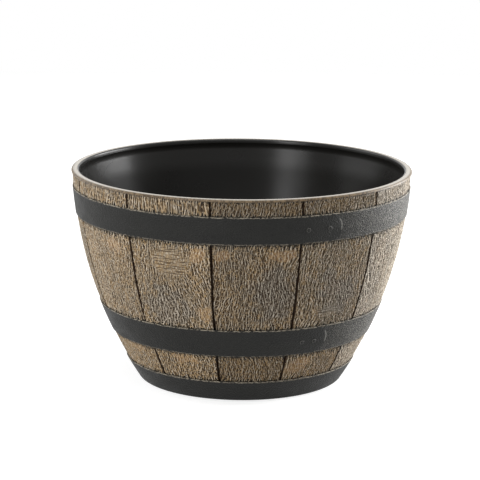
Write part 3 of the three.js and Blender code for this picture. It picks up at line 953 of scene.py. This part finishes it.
def pot_profile():
    """Section of the pot: foot ring, ledge, wall, lip, and down inside to the drain."""
    outer = STAVE_THICKNESS + SEAT_GAP
    inner = outer + POT_WALL
    ledge = float(barrel_radius(LEDGE_TOP, LEDGE_INSET))
    foot = ledge - FOOT_INSET
    skirt = RIM_RADIUS - LIP_OVERHANG + SEAT_GAP
    band = float(barrel_radius(HEIGHT, inner + RIM_BAND))

    profile = [[foot - 0.5, 0], [foot, 0.5], [foot, FOOT_HEIGHT], [ledge - 2, FOOT_HEIGHT]]
    profile += [[ledge, LEDGE_TOP]] + barrel_profile(LEDGE_TOP, LIP_UNDERSIDE, outer, 24)
    profile += [[skirt, LIP_UNDERSIDE], [skirt, SKIRT_FOOT + 0.2], [skirt + 0.2, SKIRT_FOOT]]
    profile += arc(RIM_RADIUS - 0.3, SKIRT_FOOT + 0.3, 0.3, -80, 0, 4)
    profile += crown(band, RIM_RADIUS)
    profile += barrel_profile(HEIGHT - 3, HEIGHT - RIM_BAND_HEIGHT, inner + RIM_BAND, 4)
    top = HEIGHT - RIM_BAND_HEIGHT - RIM_BAND
    for z in np.linspace(top, FLOOR_TOP + FLOOR_FILLET, WALL_STEPS):
        profile.append(on_barrel(z, inner + DRAFT * min((top - z) / DRAFT_HEIGHT, 1)))
    corner = float(barrel_radius(FLOOR_TOP, inner + DRAFT))
    start = on_barrel(FLOOR_TOP + FLOOR_FILLET, inner + DRAFT)
    profile += bend(start, [corner, FLOOR_TOP], [corner - FLOOR_FILLET, FLOOR_TOP], 10)[1:]
    profile += [[60, FLOOR_TOP - 0.4], [DRAIN_RADIUS + 6, DRAIN_SEAT]]
    profile += [[DRAIN_RADIUS + 0.4, DRAIN_SEAT], [DRAIN_RADIUS, DRAIN_SEAT - 0.3]]
    foot_inside = foot - FOOT_WIDTH
    profile += [[DRAIN_RADIUS, FOOT_HEIGHT], [foot_inside, FOOT_HEIGHT]]
    return profile + [[foot_inside, 0.5], [foot_inside + 0.5, 0]]


def add_pot(material):
    """The pot, with drain notches through its foot ring and paint over its lip."""
    profile = pot_profile()
    grid = revolve(profile, POT_SEGMENTS)
    radius, level = np.array(profile).T
    turn = np.linspace(0, TURN, POT_SEGMENTS, endpoint=False)[:, None]
    foot = radius[1]
    notched = np.abs(turn % (TURN / 4) - TURN / 8) * foot < NOTCH_HALF
    on_foot = (level < 1) & (radius < foot + 1)
    grid[..., 2] = np.where(notched & on_foot, NOTCH_DEPTH, grid[..., 2])
    piece = add_piece("pot_shell", *skin(grid, closed_rows=True), material, "pot", "pot")

    painted = np.clip((radius - (RIM_RADIUS - PAINTED_LIP)) / PAINT_FADE, 0, 1)
    painted = painted * (level > SKIRT_FOOT - 0.5)
    # How near the crown's top each point is, for its painted highlight.
    crown_highlight = np.clip(1 - (HEIGHT - level) / CROWN_HIGHLIGHT_DEPTH, 0, 1)
    run = np.concatenate([[0], np.cumsum(np.hypot(np.diff(radius), np.diff(level)))])
    set_attribute(piece, "place", turn * POT_TEXTURE_RADIUS, run[None, :], 0.0)
    set_attribute(piece, "paint", painted, crown_highlight, np.zeros_like(turn))


# ------------------------------------------------------------------ drain plug

FLANGE_FOOT = DRAIN_SEAT + SEAT_GAP
FLANGE_TOP = FLANGE_FOOT + 1.6
FLANGE_RADIUS = 13.0
PLUG_SHANK = 7.7
TAB_HALF_WIDTH = 7.5
TAB_ROOT = 0.6
# The tab's layers from front to back: where each is, and how far in its outline is (mm).
TAB_LAYERS = [(-1.5, 0.5), (-1.2, 0.12), (-0.9, 0.0), (0.9, 0.0), (1.2, 0.12), (1.5, 0.5)]


def add_plug(material):
    """The drain plug: a turned body, and the tab that it is pulled by."""
    profile = [[AXIS, PLUG_FOOT], [PLUG_SHANK - 1.1, PLUG_FOOT]]
    profile += [[PLUG_SHANK - 0.8, PLUG_FOOT + 0.1], [PLUG_SHANK, PLUG_FOOT + 0.9]]
    profile += [[PLUG_SHANK, FLANGE_FOOT], [FLANGE_RADIUS - 0.3, FLANGE_FOOT]]
    profile += arc(FLANGE_RADIUS - 0.5, FLANGE_FOOT + 0.5, 0.5, -60, 0, 3)
    profile += arc(FLANGE_RADIUS - 1, FLANGE_TOP - 1, 1.0, 5, 88, 6)
    profile += [[9, FLANGE_TOP], [7.5, FLANGE_TOP - 0.25], [AXIS, FLANGE_TOP - 0.25]]
    vertices, faces = skin(revolve(profile, 64), closed_rows=True)
    plug = (material, "plug", "drain_plug", "drain_plug")
    body = add_piece("drain_plug_body", vertices, faces, *plug)
    set_attribute(body, "place", *vertices.T)

    centre = np.array([0, PLUG_TOP - TAB_HALF_WIDTH])
    foot = FLANGE_TOP - TAB_ROOT
    outline = arc(*centre, TAB_HALF_WIDTH, 0, 180, 25)
    outline = np.array([[TAB_HALF_WIDTH, foot], *outline, [-TAB_HALF_WIDTH, foot]])
    rings = []
    for thickness, inset in TAB_LAYERS:
        ring = centre + (outline - centre) * (1 - inset / TAB_HALF_WIDTH)
        rings.append(np.stack([ring[:, 0], np.full(len(ring), thickness), ring[:, 1]], axis=-1))
    vertices, faces = skin(np.array(rings), caps=True)
    tab = add_piece("drain_plug_tab", vertices, faces, *plug)
    set_attribute(tab, "place", *vertices.T)


# ------------------------------------------------------------------ camera, light and floor

CAMERA_DISTANCE = 2.5067
CAMERA_ELEVATION = math.radians(13.30)
CAMERA_AIM = (-0.0013, 0, 0.1588)
CAMERA_LENS = 162.0
CAMERA_ROLL = math.radians(0.465)
# How strongly the world lights surfaces, where the white that shows is 1.
AMBIENT = 0.30
FLOOR_HALF = 2.5
FLOOR_GREY = 0.48
FLOOR_GLOW = 0.72

# Name, azimuth (0 in front, 90 to the right) and elevation in degrees, distance, width and
# height in metres, and radiance.
LAMPS = [
    ("key", -40, 20, 2.4, 0.9, 1.4, 4.0),
    ("strip", -34.5, 18, 2.4, 0.5, 1.7, 5.2),
    ("left", -104, 24, 2.2, 1.6, 1.0, 4.5),
    ("right", 114, 14, 2.0, 1.4, 1.1, 16.5),
    ("top", 0, 82, 2.0, 1.4, 1.4, 3.0),
]


def add_camera():
    """A long lens that sees the planter as the photograph does."""
    data = bpy.data.cameras.new("camera")
    data.lens = CAMERA_LENS
    data.sensor_width = 36
    camera = bpy.data.objects.new("camera", data)
    bpy.context.collection.objects.link(camera)
    back = CAMERA_DISTANCE * math.cos(CAMERA_ELEVATION)
    up = HEIGHT * MM / 2 + CAMERA_DISTANCE * math.sin(CAMERA_ELEVATION)
    camera.location = (0, -back, up)
    aim = Vector(CAMERA_AIM) - camera.location
    turn = aim.to_track_quat("-Z", "Y") @ Quaternion((0, 0, 1), CAMERA_ROLL)
    camera.rotation_euler = turn.to_euler()
    bpy.context.scene.camera = camera


def add_lamp(name, azimuth, elevation, distance, width, height, radiance):
    """An area lamp of even radiance that faces the middle of the planter."""
    data = bpy.data.lights.new(name, "AREA")
    data.shape = "RECTANGLE"
    data.size, data.size_y = width, height
    data.energy = radiance * math.pi * width * height
    lamp = bpy.data.objects.new(name, data)
    bpy.context.collection.objects.link(lamp)
    a, e = math.radians(azimuth), math.radians(elevation)
    middle = Vector((0, 0, HEIGHT * MM / 2))
    lamp.location = middle + distance * Vector(around(math.cos(e), a, math.sin(e)))
    lamp.rotation_euler = (middle - lamp.location).to_track_quat("-Z", "Y").to_euler()


def seen_directly(graph):
    """1 for what the camera sees, itself or in a reflection, and 0 for light on surfaces."""
    path = graph.tree.nodes.new("ShaderNodeLightPath").outputs
    return graph.most(path["Is Camera Ray"], path["Is Glossy Ray"], path["Is Transmission Ray"])


def add_world():
    """Plain soft light that shows as white."""
    world = bpy.data.worlds.new("world")
    world.use_nodes = True
    bpy.context.scene.world = world
    graph = Graph(world.node_tree)
    background = world.node_tree.nodes["Background"]
    background.inputs["Color"].default_value = (1, 1, 1, 1)
    strength = graph.ramp(seen_directly(graph), 0.0, 1.0, AMBIENT, 1.0)
    world.node_tree.links.new(strength, background.inputs["Strength"])


def add_floor():
    """A floor that shows white and keeps a faint shadow."""
    signs = [(-1, -1), (1, -1), (1, 1), (-1, 1)]
    corners = [(x * FLOOR_HALF, y * FLOOR_HALF, 0) for x, y in signs]
    mesh = bpy.data.meshes.new("floor")
    mesh.from_pydata(corners, [], [(0, 1, 2, 3)])
    floor = bpy.data.objects.new("floor", mesh)
    bpy.context.collection.objects.link(floor)
    material = Material("floor_white", 0.9, specular=0.0)
    material.shader.inputs["Base Color"].default_value = (FLOOR_GREY, FLOOR_GREY, FLOOR_GREY, 1)
    graph = material.graph
    glow = graph.times(seen_directly(graph), FLOOR_GLOW)
    emission = graph.add("ShaderNodeEmission", {"Color": (1, 1, 1, 1), "Strength": glow})
    both = graph.add("ShaderNodeAddShader", {0: material.shader.outputs[0], 1: emission})
    material.tree.links.new(both, material.tree.nodes["Material Output"].inputs["Surface"])
    mesh.materials.append(material.data)


# ------------------------------------------------------------------ the scene


def build():
    """Adds everything to the scene."""
    add_camera()
    add_world()
    add_floor()
    for lamp in LAMPS:
        add_lamp(*lamp)
    wood, relief = wood_material(), relief_tree()
    for index, name in enumerate(STAVES):
        add_stave(index, name, wood, relief)
    strap_paint = paint_material("strap_paint", STRAP_TONE)
    rivet_paint = paint_material("rivet_paint", RIVET_TONE)
    for hoop in LAP_TIPS:
        add_strap(hoop, strap_paint)
        add_rivets(hoop, rivet_paint)
    add_base_hoop(strap_paint)
    add_pot(pot_material())
    add_plug(rubber_material())


bpy.context.scene.view_settings.view_transform = "Standard"
build()
